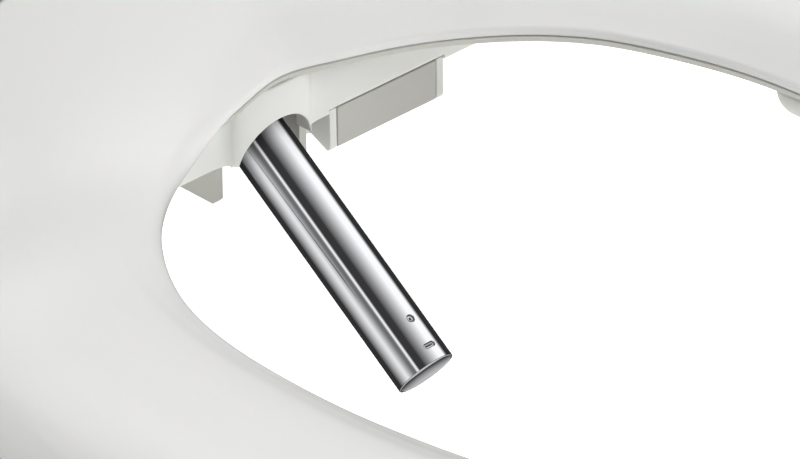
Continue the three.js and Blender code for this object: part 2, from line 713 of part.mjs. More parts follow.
function roundedRectangle(x0, x1, y0, y1, radius) {
  const corners = [
    [x1 - radius, y1 - radius, 0], [x0 + radius, y1 - radius, 90],
    [x0 + radius, y0 + radius, 180], [x1 - radius, y0 + radius, 270],
  ];
  return corners.flatMap(([x, y, start]) => arc(x, y, radius, start, start + 90, 4));
}

function makeConsole(parent) {
  const { outer, inner, front, rear, bottom, top } = consoleBox;
  const body = prismZ(roundedRectangle(outer, inner, front, rear, 12), bottom, top - 3);
  const neck = box(inner - 2, -caseHalf - gap, -14, 56, 14, 28);
  const hollow = prismZ(roundedRectangle(outer + 3, inner - 3, front + 3, rear - 3, 9), bottom + 3, top);
  addPiece(parent, 'console_case', cut(join(body, neck), hollow), whiteSatin);
  const middle = (outer + inner) / 2;
  const keyHoles = Object.values(keyPlaces).map((y) => (
    box(middle - keySize.halfX - 0.35, middle + keySize.halfX + 0.35, y - keySize.halfY - 0.35, y + keySize.halfY + 0.35, 20, 40)
  ));
  const fascia = prismZ(roundedRectangle(outer, inner, front, rear, 12), top - 2.7, top);
  addPiece(parent, 'console_fascia', cut(fascia, ...keyHoles, rodZ(4.4, dial.x, dial.y, 20, 40)), whiteGloss);
  addPiece(parent, 'console_board', box(outer + 6, inner - 6, front + 8, rear - 8, 13, 14.6), circuitGreen);
  for (const [name, y] of Object.entries(keyPlaces)) {
    const { halfX, halfY, rise } = keySize;
    const key = box(middle - halfX, middle + halfX, y - halfY, y + halfY, top - 8, top + rise);
    addPiece(parent, `${name}_key`, key, greyPlastic);
  }
  const knob = join(
    rodZ(dial.radius, dial.x, dial.y, top + 0.4, top + dial.height, 32),
    rodZ(4, dial.x, dial.y, top - 10, top + 1, 16),
  );
  const mark = box(dial.x - 0.8, dial.x + 0.8, dial.y + 5, dial.y + 16, top + dial.height - 1, top + dial.height + 1);
  addPiece(parent, 'pressure_dial', cut(knob, mark), whiteGloss);
}

const group = new THREE.Group();
makeBracket(group);
makeCasing(group);
makeNozzle(group);
makeDryer(group);
makeInside(group);
makeConsole(group);
makeSeat(group);
makeLid(group);

export default group;
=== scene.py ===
import json
import math

import bmesh
import bpy
import numpy as np
from mathutils import Matrix, Vector

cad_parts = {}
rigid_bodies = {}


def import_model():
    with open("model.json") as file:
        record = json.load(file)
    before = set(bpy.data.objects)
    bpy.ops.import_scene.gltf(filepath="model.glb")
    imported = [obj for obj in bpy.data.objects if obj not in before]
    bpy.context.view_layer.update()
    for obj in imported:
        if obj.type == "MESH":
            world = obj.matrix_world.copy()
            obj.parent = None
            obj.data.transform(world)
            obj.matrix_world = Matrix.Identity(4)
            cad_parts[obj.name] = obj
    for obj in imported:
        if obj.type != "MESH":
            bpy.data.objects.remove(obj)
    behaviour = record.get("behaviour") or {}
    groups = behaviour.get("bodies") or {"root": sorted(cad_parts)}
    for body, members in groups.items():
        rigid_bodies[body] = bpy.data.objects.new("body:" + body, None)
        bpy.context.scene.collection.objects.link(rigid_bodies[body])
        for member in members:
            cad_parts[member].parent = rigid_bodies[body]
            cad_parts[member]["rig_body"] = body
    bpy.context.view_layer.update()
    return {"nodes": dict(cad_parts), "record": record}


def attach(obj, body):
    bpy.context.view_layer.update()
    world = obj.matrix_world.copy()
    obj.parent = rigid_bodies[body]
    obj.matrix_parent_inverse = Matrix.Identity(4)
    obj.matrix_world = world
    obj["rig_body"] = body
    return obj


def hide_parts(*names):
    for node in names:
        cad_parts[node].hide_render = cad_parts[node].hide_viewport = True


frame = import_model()

# Electric bidet seat, in metres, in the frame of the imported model.
# Pieces are worked out in millimetres and scaled once, in makeMesh.

toMetres = 0.001
scene = bpy.context.scene


# camera

cameraUser = {
    "azimuth": -44.68, "elevation": 30.755, "distance": 1714.0, "framePerMm": 3.4189,
    "target": (-8.88, -128.09, 0.0), "frameWidth": 800,
}


def viewAxes(azimuth, elevation):
    # right, up and back of a camera that looks along +Y at azimuth 0
    a, e = math.radians(azimuth), math.radians(elevation)
    back = Vector((math.sin(a) * math.cos(e), -math.cos(a) * math.cos(e), math.sin(e)))
    right = Vector((math.cos(a), math.sin(a), 0.0))
    return right, back.cross(right), back


def makeCamera(user):
    right, up, back = viewAxes(user["azimuth"], user["elevation"])
    data = bpy.data.cameras.new("studioCamera")
    data.sensor_width = 36.0
    data.lens = 36.0 * user["framePerMm"] * user["distance"] / user["frameWidth"]
    data.clip_end = 20.0
    camera = bpy.data.objects.new("studioCamera", data)
    place = (Vector(user["target"]) + back * user["distance"]) * toMetres
    turn = Matrix((right, up, back)).transposed().to_4x4()
    camera.matrix_world = Matrix.Translation(place) @ turn
    scene.collection.objects.link(camera)
    scene.camera = camera


makeCamera(cameraUser)
print("camera placed")


# materials

def newMaterial(name):
    material = bpy.data.materials.new(name)
    material.use_nodes = True
    nodes = material.node_tree.nodes
    return material, nodes, material.node_tree.links, nodes["Principled BSDF"]


def objectCoords(nodes):
    return nodes.new("ShaderNodeTexCoord").outputs["Object"]


def addNoise(nodes, links, scale, detail=3.0):
    noise = nodes.new("ShaderNodeTexNoise")
    noise.inputs["Scale"].default_value = scale
    noise.inputs["Detail"].default_value = detail
    links.new(objectCoords(nodes), noise.inputs["Vector"])
    return noise.outputs["Fac"]


def setRange(node, source, target):
    node.inputs["From Min"].default_value, node.inputs["From Max"].default_value = source
    node.inputs["To Min"].default_value, node.inputs["To Max"].default_value = target


# noise spans about 0.3 to 0.7, stretched here to run from low to high
def mapRange(nodes, links, value, low, high):
    ranged = nodes.new("ShaderNodeMapRange")
    setRange(ranged, (0.3, 0.7), (low, high))
    links.new(value, ranged.inputs["Value"])
    return ranged.outputs["Result"]


def mixColours(nodes, links, factor, first, second):
    mix = nodes.new("ShaderNodeMix")
    mix.data_type = "RGBA"
    mix.inputs[6].default_value = (*first, 1)
    mix.inputs[7].default_value = (*second, 1)
    links.new(factor, mix.inputs[0])
    return mix.outputs[2]


def addBump(nodes, links, shader, height, strength, distance):
    bump = nodes.new("ShaderNodeBump")
    bump.inputs["Strength"].default_value = strength
    bump.inputs["Distance"].default_value = distance
    links.new(height, bump.inputs["Height"])
    links.new(bump.outputs["Normal"], shader.inputs["Normal"])


# moulded plastic: a slight drift of colour, uneven gloss and a skin of fine grain
def mouldedPlastic(name, user):
    material, nodes, links, shader = newMaterial(name)
    drift = addNoise(nodes, links, user["driftScale"])
    first = user["colour"]
    second = tuple(channel * user["drift"] for channel in first)
    links.new(mixColours(nodes, links, drift, first, second), shader.inputs["Base Color"])
    smudge = addNoise(nodes, links, user["smudgeScale"], 5.0)
    low, high = user["roughness"]
    links.new(mapRange(nodes, links, smudge, low, high), shader.inputs["Roughness"])
    grain = addNoise(nodes, links, user["grainScale"], 2.0)
    addBump(nodes, links, shader, grain, user["grain"], 0.0002)
    shader.inputs["Coat Weight"].default_value = user["coat"]
    shader.inputs["Coat Roughness"].default_value = 0.08
    shader.inputs["IOR"].default_value = 1.5
    shader.inputs["Subsurface Weight"].default_value = user["depth"]
    shader.inputs["Subsurface Scale"].default_value = 0.002
    return material


# darkens a polished colour where other pieces close in on it
def shadeByOcclusion(nodes, links, shader, distance):
    cover = nodes.new("ShaderNodeAmbientOcclusion")
    cover.inputs["Distance"].default_value = distance
    cover.samples = 8
    links.new(shader.inputs["Base Color"].links[0].from_socket, cover.inputs["Color"])
    links.new(cover.outputs["Color"], shader.inputs["Base Color"])


def metalFinish(name, user):
    material, nodes, links, shader = newMaterial(name)
    shader.inputs["Metallic"].default_value = 1.0
    drift = addNoise(nodes, links, user["driftScale"])
    first = user["colour"]
    second = tuple(channel * user["drift"] for channel in first)
    links.new(mixColours(nodes, links, drift, first, second), shader.inputs["Base Color"])
    if user.get("mouthShade"):
        shadeByOcclusion(nodes, links, shader, user["mouthShade"])
    stretch = nodes.new("ShaderNodeMapping")
    stretch.inputs["Scale"].default_value = user["stretch"]
    stretch.inputs["Rotation"].default_value = user["turn"]
    links.new(objectCoords(nodes), stretch.inputs["Vector"])
    lines = nodes.new("ShaderNodeTexNoise")
    lines.inputs["Scale"].default_value = user["lineScale"]
    lines.inputs["Detail"].default_value = 4.0
    links.new(stretch.outputs["Vector"], lines.inputs["Vector"])
    low, high = user["roughness"]
    links.new(mapRange(nodes, links, lines.outputs["Fac"], low, high), shader.inputs["Roughness"])
    addBump(nodes, links, shader, lines.outputs["Fac"], user["lines"], 0.00005)
    return material


# a board: solder mask over a grid of tracks
def circuitBoard(name):
    material, nodes, links, shader = newMaterial(name)
    tracks = nodes.new("ShaderNodeTexBrick")
    tracks.inputs["Scale"].default_value = 90.0
    tracks.inputs["Mortar Size"].default_value = 0.035
    tracks.inputs["Color1"].default_value = (0.02, 0.17, 0.08, 1)
    tracks.inputs["Color2"].default_value = (0.03, 0.21, 0.10, 1)
    tracks.inputs["Mortar"].default_value = (0.10, 0.34, 0.15, 1)
    links.new(objectCoords(nodes), tracks.inputs["Vector"])
    links.new(tracks.outputs["Color"], shader.inputs["Base Color"])
    addBump(nodes, links, shader, tracks.outputs["Fac"], 0.3, 0.0001)
    shader.inputs["Roughness"].default_value = 0.35
    return material


glossUser = {
    "colour": (0.83, 0.83, 0.815), "drift": 0.985, "driftScale": 9.0, "smudgeScale": 24.0,
    "roughness": (0.20, 0.27), "grainScale": 420.0, "grain": 0.02, "coat": 0.35, "depth": 0.05,
}
satinUser = dict(glossUser, colour=(0.78, 0.785, 0.755), roughness=(0.38, 0.48), grainScale=1600.0,
                 grain=0.10, coat=0.0)
greyUser = dict(satinUser, colour=(0.52, 0.515, 0.48), roughness=(0.40, 0.52), depth=0.0)
innerUser = dict(satinUser, colour=(0.53, 0.53, 0.49), roughness=(0.5, 0.62))
rubberUser = dict(satinUser, colour=(0.66, 0.66, 0.63), roughness=(0.66, 0.8), grainScale=2200.0, grain=0.2)
darkUser = dict(satinUser, colour=(0.035, 0.036, 0.04), drift=0.8, roughness=(0.42, 0.55), depth=0.0)
chromeUser = {
    "colour": (0.94, 0.945, 0.96), "drift": 0.99, "driftScale": 30.0, "stretch": (1, 0.02, 1),
    "turn": (math.radians(-35.67), 0, 0), "lineScale": 1400.0, "roughness": (0.05, 0.075),
    "lines": 0.01, "mouthShade": 0.016,
}
steelUser = dict(chromeUser, colour=(0.76, 0.765, 0.78), drift=0.92, stretch=(0.05, 1, 1), turn=(0, 0, 0),
                 roughness=(0.16, 0.26), lines=0.15, mouthShade=0.0)
brassUser = dict(steelUser, colour=(0.72, 0.54, 0.26), roughness=(0.2, 0.34))
foilUser = dict(steelUser, colour=(0.72, 0.47, 0.30), lineScale=500.0)

# finishes that a polished part doesn't mirror, so that it shows the studio alone
unmirrored = ("seat_gloss", "white_satin", "grey_plastic", "inner_plastic", "heater_foil")

materials = {
    "seat_gloss": mouldedPlastic("seatGloss", glossUser),
    "white_satin": mouldedPlastic("whiteSatin", satinUser),
    "grey_plastic": mouldedPlastic("greyPlastic", greyUser),
    "inner_plastic": mouldedPlastic("innerPlastic", innerUser),
    "soft_rubber": mouldedPlastic("softRubber", rubberUser),
    "dark_plastic": mouldedPlastic("darkPlastic", darkUser),
    "chrome_tube": metalFinish("polishedTube", chromeUser),
    "steel": metalFinish("brushedSteel", steelUser),
    "brass_fitting": metalFinish("turnedBrass", brassUser),
    "heater_foil": metalFinish("heaterFoil", foilUser),
    "circuit_board": circuitBoard("circuitBoard"),
}
slotOf = {row["node"]: row["material_slot"] for row in frame["record"]["subparts"]}
print("materials made")


# mesh helpers

def finishPiece(piece, body, slotName, *nodes):
    piece.data.materials.clear()
    piece.data.materials.append(materials[slotName])
    piece.visible_glossy = slotName not in unmirrored
    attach(piece, body)
    if nodes:
        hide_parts(*nodes)
    return piece


def makeMesh(name, points, faces, sharpAngle=40):
    # points in millimetres; the faces of the closed shape are turned to point outwards
    mesh = bpy.data.meshes.new(name)
    mesh.from_pydata((np.asarray(points, float) * toMetres).tolist(), [], faces)
    mesh.validate()
    work = bmesh.new()
    work.from_mesh(mesh)
    bmesh.ops.recalc_face_normals(work, faces=work.faces)
    work.to_mesh(mesh)
    work.free()
    mesh.polygons.foreach_set("use_smooth", np.ones(len(mesh.polygons), bool))
    mesh.set_sharp_from_angle(angle=math.radians(sharpAngle))
    piece = bpy.data.objects.new(name, mesh)
    scene.collection.objects.link(piece)
    return piece


def gridFaces(rows, columns, closeRows, closeColumns):
    # quads between neighbouring rows and columns of a grid, wrapped where closed
    r = np.arange(rows if closeRows else rows - 1)
    c = np.arange(columns if closeColumns else columns - 1)
    r, c = np.meshgrid(r, c, indexing="ij")
    nextR, nextC = (r + 1) % rows, (c + 1) % columns
    quads = np.stack([r * columns + c, nextR * columns + c, nextR * columns + nextC, r * columns + nextC], -1)
    return quads.reshape(-1, 4).tolist()


def smoothStep(t):
    t = np.clip(t, 0, 1)
    return t * t * t * (t * (6 * t - 15) + 10)


def smoothLoop(points, steps):
    # closed curve through the points: a cubic between neighbours, whose slope at each point is
    # the step from the point before to the point after, over the length of both spans
    p = np.asarray(points, float)
    before, after, later = np.roll(p, 1, 0), np.roll(p, -1, 0), np.roll(p, -2, 0)
    t = (np.arange(steps) / steps)[None, :, None]
    a, b, c, d = before[:, None], p[:, None], after[:, None], later[:, None]
    gaps = (b - a, c - b, d - c)
    spanBefore, span, spanAfter = (np.linalg.norm(gap, axis=-1, keepdims=True) for gap in gaps)
    tangentB = (c - a) * span / (span + spanBefore)
    tangentC = (d - b) * span / (spanAfter + span)
    curve = (2 * t**3 - 3 * t**2 + 1) * b + (t**3 - 2 * t**2 + t) * tangentB
    curve = curve + (-2 * t**3 + 3 * t**2) * c + (t**3 - t**2) * tangentC
    return curve.reshape(-1, p.shape[1])


def prismAlongX(name, outlinePoints, x0, x1, bevel):
    # flat outline of (y, z) points drawn out along X, edges rounded
    count = len(outlinePoints)
    points = [(x, y, z) for x in (x0, x1) for y, z in outlinePoints]
    faces = [list(range(count))[::-1], list(range(count, 2 * count))]
    faces += [[i, (i + 1) % count, count + (i + 1) % count, count + i] for i in range(count)]
    piece = makeMesh(name, points, faces)
    roundEdges(piece, bevel)
    return piece


def roundEdges(piece, width, segments=3, angle=32):
    bevel = piece.modifiers.new("edges", "BEVEL")
    bevel.width = width * toMetres
    bevel.segments = segments
    bevel.limit_method = "ANGLE"
    bevel.angle_limit = math.radians(angle)
    bevel.use_clamp_overlap = True
    bevel.harden_normals = False
    weighted = piece.modifiers.new("shading", "WEIGHTED_NORMAL")
    weighted.keep_sharp = False
    weighted.weight = 80


def applyModifiers(piece):
    graph = bpy.context.evaluated_depsgraph_get()
    mesh = bpy.data.meshes.new_from_object(piece.evaluated_get(graph), depsgraph=graph)
    piece.modifiers.clear()
    old = piece.data
    piece.data = mesh
    mesh.name = piece.name
    bpy.data.meshes.remove(old)


def cutWith(piece, cutter):
    boolean = piece.modifiers.new("cut", "BOOLEAN")
    boolean.operation = "DIFFERENCE"
    boolean.solver = "EXACT"
    boolean.object = cutter
    bpy.context.view_layer.update()
    applyModifiers(piece)
    bpy.data.objects.remove(cutter)


# a CAD node's own shape with merged points, flat faces whole and its edges rounded
def softenNode(nodeName, width=0.5, segments=2):
    source = frame["nodes"][nodeName]
    words = nodeName.split("_")
    name = words[0] + "".join(word.capitalize() for word in words[1:])
    mesh = bpy.data.meshes.new(name)
    work = bmesh.new()
    work.from_mesh(source.data)
    bmesh.ops.remove_doubles(work, verts=work.verts, dist=2e-6)
    bmesh.ops.dissolve_limit(work, angle_limit=math.radians(1.0), verts=work.verts, edges=work.edges)
    work.to_mesh(mesh)
    work.free()
    mesh.polygons.foreach_set("use_smooth", np.ones(len(mesh.polygons), bool))
    mesh.set_sharp_from_angle(angle=math.radians(40))
    piece = bpy.data.objects.new(name, mesh)
    scene.collection.objects.link(piece)
    roundEdges(piece, width, segments)
    return finishPiece(piece, source["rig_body"], slotOf[nodeName], nodeName)


# the seat ring

ringUser = {
    "centre": -200.0, "steps": 220, "perSpan": 4, "crown": 33.0,
    "liftStart": -110.0, "liftEnd": -12.5, "liftHeight": 29.0, "liftPower": 1.8, "squeeze": 0.7,
    "swell": (2.3, -105.0, 22.0), "hoodRetreat": (3.0, 16.0), "softRange": (-112.0, -78.0, -25.0, -9.0),
}
openingUser = {
    "halfWidth": 110.0, "centre": -189.7, "rear": 117.7, "front": 152.7, "powers": (2.04, 2.38, 2.38),
}
outlineUser = {
    "halfWidth": 192.0, "centre": -225.0, "rear": 212.5, "front": 200.0, "powers": (2.6, 2.6, 2.3),
}


# distance from the ring's centre to an edge where |x/a|^p + |y/b|^q reaches 1, by halving
def reachOf(angles, edge):
    power, rearPower, frontPower = edge["powers"]
    near, far = np.zeros_like(angles), np.full_like(angles, 400.0)
    for _ in range(44):
        middle = (near + far) / 2
        x = middle * np.sin(angles)
        y = ringUser["centre"] + middle * np.cos(angles) - edge["centre"]
        length = np.where(y > 0, edge["rear"], edge["front"])
        lengthPower = np.where(y > 0, rearPower, frontPower)
        inside = np.abs(x / edge["halfWidth"]) ** power + np.abs(y / length) ** lengthPower < 1
        near, far = np.where(inside, middle, near), np.where(inside, far, middle)
    return near


# 0 ahead of the lift's start, 1 past its end, straight between
def rearRise(y):
    return np.clip((y - ringUser["liftStart"]) / (ringUser["liftEnd"] - ringUser["liftStart"]), 0, 1)


# rise of the ring towards the hinge, a power of rearRise, plus a low bell-shaped swell before it
def rearLift(y):
    height, middle, spread = ringUser["swell"]
    lift = ringUser["liftHeight"] * rearRise(y) ** ringUser["liftPower"]
    return lift + height * np.exp(-((y - middle) / spread) ** 2)


# ring surface: share s of the way from opening to outline at each angle, heights squeezed
# towards the crown and lifted as the ring nears the hinge; the edge steps back at the hood,
# and towards one rear corner the section gives way to a softer one
def ringPoints(section, softSection):
    angles = np.arange(ringUser["steps"]) * 2 * math.pi / ringUser["steps"]
    inner, outer = reachOf(angles, openingUser), reachOf(angles, outlineUser)
    back, spread = ringUser["hoodRetreat"]
    inner = inner + np.where(np.cos(angles) > 0, back * np.exp(-((inner * np.sin(angles)) / spread) ** 2), 0)
    inner, outer = inner[:, None], outer[:, None]
    degrees = (np.degrees(angles) + 180) % 360 - 180
    rise0, rise1, fall0, fall1 = ringUser["softRange"]
    soft = smoothStep((degrees - rise0) / (rise1 - rise0)) * smoothStep((fall1 - degrees) / (fall1 - fall0))
    blend = section[None] + (softSection - section)[None] * soft[:, None, None]
    share, height = blend[..., 0], blend[..., 1]
    distance = inner + (outer - inner) * share
    x = distance * np.sin(angles)[:, None]
    y = ringUser["centre"] + distance * np.cos(angles)[:, None]
    squeeze = 1 - ringUser["squeeze"] * rearRise(y) * np.clip(share, 0, None)
    z = ringUser["crown"] - (ringUser["crown"] - height) * squeeze + rearLift(y)
    return np.stack([x, y, z], -1).reshape(-1, 3)


# softEdge gives other places to the section's first and last points, at the opening
def ringPiece(name, points, softEdge):
    soft = [softEdge.get(i, point) for i, point in enumerate(points)]
    section, softSection = smoothLoop(points, ringUser["perSpan"]), smoothLoop(soft, ringUser["perSpan"])
    faces = gridFaces(ringUser["steps"], len(section), True, True)
    return makeMesh(name, ringPoints(section, softSection), faces, 50)


# sections as (share from opening to outline, height), with softer places near the opening
topSection = [
    (0.001, 18.2), (0.0, 18.7), (0.0, 19.5), (0.003, 20.2), (0.011, 20.8), (0.025, 21.4), (0.05, 22.5),
    (0.12, 25.6), (0.25, 30.1), (0.45, 33.0), (0.65, 32.3), (0.82, 29.5), (0.92, 26.4), (0.965, 23.6),
    (0.988, 20.6), (0.998, 17.6), (1.0, 15.6), (0.998, 15.0), (0.968, 15.0), (0.958, 19.0), (0.9, 24.2),
    (0.8, 27.6), (0.62, 30.2), (0.45, 30.8), (0.26, 28.0), (0.13, 23.0), (0.045, 19.2), (0.022, 18.1),
]
topSoftEdge = {
    0: (0.016, 12.6), 1: (0.007, 13.6), 2: (0.003, 15.6), 3: (0.004, 17.6), 4: (0.014, 19.6),
    5: (0.032, 21.4), 6: (0.062, 23.2), 7: (0.13, 26.2), 25: (0.15, 23.4), 26: (0.06, 19.4), 27: (0.035, 14.2),
}
baseSection = [
    (0.016, 15.3), (0.0125, 15.45), (0.003, 17.0), (0.001, 17.95), (0.045, 18.05), (0.13, 21.1), (0.26, 24.8),
    (0.45, 27.4), (0.62, 26.8), (0.8, 24.0), (0.89, 21.8), (0.935, 19.3), (0.962, 14.5), (0.995, 14.4),
    (1.0, 14.0), (1.0, 6.0), (0.995, 5.1), (0.985, 5.0), (0.96, 5.1), (0.954, 6.0), (0.93, 17.0),
    (0.82, 21.5), (0.66, 24.0), (0.5, 24.6), (0.3, 22.8), (0.14, 18.6), (0.05, 16.4), (0.022, 15.5),
]
baseSoftEdge = {
    0: (0.062, 16.0), 1: (0.055, 16.4), 2: (0.053, 17.2), 3: (0.056, 17.9), 4: (0.08, 18.9), 27: (0.07, 16.2),
    26: (0.09, 17.2),
}


def arcPoints(centre, radius, start, end, steps):
    angles = np.radians(np.linspace(start, end, steps))
    return [(centre[0] + radius * math.cos(a), centre[1] + radius * math.sin(a)) for a in angles]


def makeSeat():
    top = ringPiece("seatTop", topSection, topSoftEdge)
    finishPiece(top, "seat", "seat_gloss", "seat_top_shell")
    base = ringPiece("seatBase", baseSection, baseSoftEdge)
    finishPiece(base, "seat", "inner_plastic", "seat_bottom_shell")
    lugOutline = arcPoints((0, 61), 9.5, -60, 200, 28) + [(-24.5, 45.6), (-42, 40.6), (-42, 38), (-20, 38.6)]
    for side, x0, x1 in (("Left", 88, 101), ("Right", -101, -88)):
        lug = prismAlongX("seatLug" + side, lugOutline, x0, x1, 0.8)
        finishPiece(lug, "seat", "white_satin")


makeSeat()
print("seat made")


# soft bumpers under the seat: pads with rounded corners and a domed foot

bumperUser = {
    "half": (13.0, 17.0), "corner": 9.0, "foot": 10.5, "pad": 14.0, "band": 1.2, "neck": (7.0, 9.0, 2.0),
    "steps": 12, "spots": {"rear": (125.4, -178.0, 4.0, 16.2), "front": (104.0, -352.0, 0.2, 21.2)},
}


# rounded rectangle round a middle point, pulled in by inset
def padOutline(x, y, halfX, halfY, corner, inset):
    corner = max(corner - inset, 1.5)
    reachX, reachY = halfX - inset - corner, halfY - inset - corner
    quarters = [arcPoints((x + sx * reachX, y + sy * reachY), corner, start, start + 90, bumperUser["steps"])
                for sx, sy, start in ((1, 1, 0), (-1, 1, 90), (-1, -1, 180), (1, -1, 270))]
    return sum(quarters, [])


# layers from the foot up: a quarter round, a straight band, a small chamfer, then the neck
def bumperPad(name, x, y, low, top):
    pad, neck = bumperUser["pad"], bumperUser["neck"]
    foot = min(bumperUser["foot"], pad - bumperUser["band"] - low)
    turns = np.radians(np.linspace(8, 90, 12))
    layers = [(foot * (1 - math.sin(t)), low + foot * (1 - math.cos(t))) for t in turns]
    layers += [(0.0, pad - 1.0), (0.3, pad - 0.3), (1.0, pad)]
    shape = (*bumperUser["half"], bumperUser["corner"])
    rows = [[(*p, z) for p in padOutline(x, y, *shape, inset)] for inset, z in layers]
    neckLayers = [(0.0, pad), (0.0, top - 0.5), (0.5, top)]
    rows += [[(*p, z) for p in padOutline(x, y, *neck, inset)] for inset, z in neckLayers]
    count = len(rows[0])
    faces = gridFaces(len(rows), count, False, True)
    faces += [list(range(count)), list(range((len(rows) - 1) * count, len(rows) * count))]
    return makeMesh(name, [p for row in rows for p in row], faces, 35)


for place, (x, y, low, top) in bumperUser["spots"].items():
    for side, sign in (("Left", 1), ("Right", -1)):
        pad = bumperPad("seatBumper" + place.capitalize() + side, sign * x, y, low, top)
        finishPiece(pad, "seat", "soft_rubber", f"seat_bumper_{place}_{side.lower()}")
print("bumpers made")


# the lid, worked out closed and turned open about its hinge

lidUser = {
    "openAngle": 105.0, "hinge": (0.0, 0.0, 61.0), "clearance": 3.0, "thickness": 4.5, "dome": 6.0,
    "rimDrop": 5.0, "steps": 160, "shares": 26,
}


def openLid(points):
    turn = Matrix.Rotation(-math.radians(lidUser["openAngle"]), 3, "X")
    centre = np.array(lidUser["hinge"])
    return (np.asarray(points, float) - centre) @ np.array(turn).T + centre


# lid faces: height over the seat's crown, domed by 1 - share squared, the rim turned down and
# rounded
def lidFace(share, under, lower):
    angles = np.arange(lidUser["steps"]) * 2 * math.pi / lidUser["steps"]
    distance = reachOf(angles, outlineUser)[:, None] * share[None, :]
    x, y = distance * np.sin(angles)[:, None], ringUser["centre"] + distance * np.cos(angles)[:, None]
    flat = 1 - rearRise(y)
    drop = lidUser["rimDrop"] * np.clip((share[None, :] - 0.9) / 0.1, 0, 1) ** 1.6
    z = ringUser["crown"] + lidUser["clearance"] + rearLift(y) - drop * flat
    z = z + lidUser["dome"] * (1 - share[None, :] ** 2) * flat + (0 if under else lidUser["thickness"])
    return np.stack([x, y, z + lower[None, :]], -1)


def makeLid():
    half = np.linspace(0.0, 1.0, lidUser["shares"] + 1)[1:] ** 0.8
    rimShares = np.array([0.9945, 0.9985, 1.0])
    topShare = np.concatenate([half[:-1] * 0.985, rimShares])
    topLower = np.concatenate([np.zeros(len(half) - 1), [-0.25, -0.9, -1.9]])
    underShare = topShare[::-1]
    underLower = -topLower[::-1]
    top = lidFace(topShare, False, topLower)
    under = lidFace(underShare, True, underLower)
    rows = np.concatenate([top, under], 1)
    count = rows.shape[1]
    centreTop = lidFace(np.array([0.0]), False, np.array([0.0]))[0, 0]
    centreUnder = lidFace(np.array([0.0]), True, np.array([0.0]))[0, 0]
    points = np.concatenate([rows.reshape(-1, 3), [centreTop, centreUnder]])
    steps = lidUser["steps"]
    faces = gridFaces(steps, count, True, False)
    first, last = steps * count, steps * count + 1
    for i in range(steps):
        j = (i + 1) % steps
        faces.append([first, j * count, i * count])
        faces.append([last, i * count + count - 1, j * count + count - 1])
    finishPiece(makeMesh("lidPanel", openLid(points), faces, 60), "lid", "seat_gloss", "lid_shell")
    lugOutline = arcPoints((0, 61), 9.5, -70, 110, 22) + [(-30, 62), (-52, 50.5), (-52, 48), (-30, 53.5)]
    for side, x0, x1 in (("Left", 103, 118), ("Right", -118, -103)):
        outline = [tuple(p[1:]) for p in openLid([(0, y, z) for y, z in lugOutline])]
        finishPiece(prismAlongX("lidLug" + side, outline, x0, x1, 0.8), "lid", "seat_gloss")


makeLid()
print("lid made")


# the apron and its hood

nozzleUser = {
    "tilt": 35.67, "exit": (0.0, -62.0, -3.8), "radius": 9.6, "bore": 7.4, "out": 84.0, "inside": 40.0,
    "round": 15.0, "slot": 5.2, "dish": 0.65, "dishRadius": 9.05,
}
tiltSin, tiltCos = math.sin(math.radians(nozzleUser["tilt"])), math.cos(math.radians(nozzleUser["tilt"]))

apronUser = {
    "front": -62.0, "back": -59.2, "bottom": -2.3, "half": 97.0, "corner": 1.5, "sideTop": 15.8,
    "middleTop": 21.6, "hoodRadius": 15.3, "hoodDepth": 7.0, "hoodHalf": 16.2, "hoodFillet": 2.0,
    "fadeLength": 1.7, "notch": (26.3, 75.8, -0.8),
}


# how far the hood stands out of the apron at x: half an ellipse across, with a fillet that
# dies away outside it
def hoodOut(x):
    fillet, half = apronUser["hoodFillet"], apronUser["hoodHalf"]
    past = np.abs(x) / half
    inside = fillet + (apronUser["hoodDepth"] - fillet) * np.sqrt(np.clip(1 - past ** 2, 0, None))
    return np.where(past < 1, inside, fillet * np.exp(-(np.abs(x) - half) / apronUser["fadeLength"]))


# lowest height of the apron's front at x: the straight edge, or the arch that a bore
# along the nozzle cuts out of the hood's front
def archHeight(x, front, radius):
    across = np.sqrt(np.clip(radius ** 2 - x ** 2, 0, None))
    along = ((front - nozzleUser["exit"][1]) + across * tiltSin) / tiltCos
    height = nozzleUser["exit"][2] + along * tiltSin + across * tiltCos
    return np.where(np.abs(x) < radius, height, -99.0)


# places across the apron: even steps round the arch, close ones on the hood's flank, wide ones
# along the sides, and a pair at each end of the notch over the outlet
def apronStations():
    radius, half = apronUser["hoodRadius"], apronUser["hoodHalf"]
    legs = -radius * np.cos(np.linspace(0, math.pi, 97))
    steepest = half - np.linspace((half - radius - 0.1) ** 0.5, 0, 9) ** 2
    flank = np.concatenate([steepest, half + np.linspace(0.1, 4, 18), np.linspace(half + 4.5, 26.2, 16)])
    rounding = apronUser["corner"]
    side = np.linspace(27, apronUser["half"] - rounding, 60)
    start, end, _ = apronUser["notch"]
    notch = np.array([start - 0.05, start, end, end + 0.05])
    corner = apronUser["half"] - rounding + rounding * np.sin(np.linspace(0, math.pi / 2, 6))[1:]
    right = np.unique(np.concatenate([flank, side, notch, corner]))
    left = -np.unique(np.concatenate([flank, side, corner]))[::-1]
    return np.concatenate([left, legs, right])


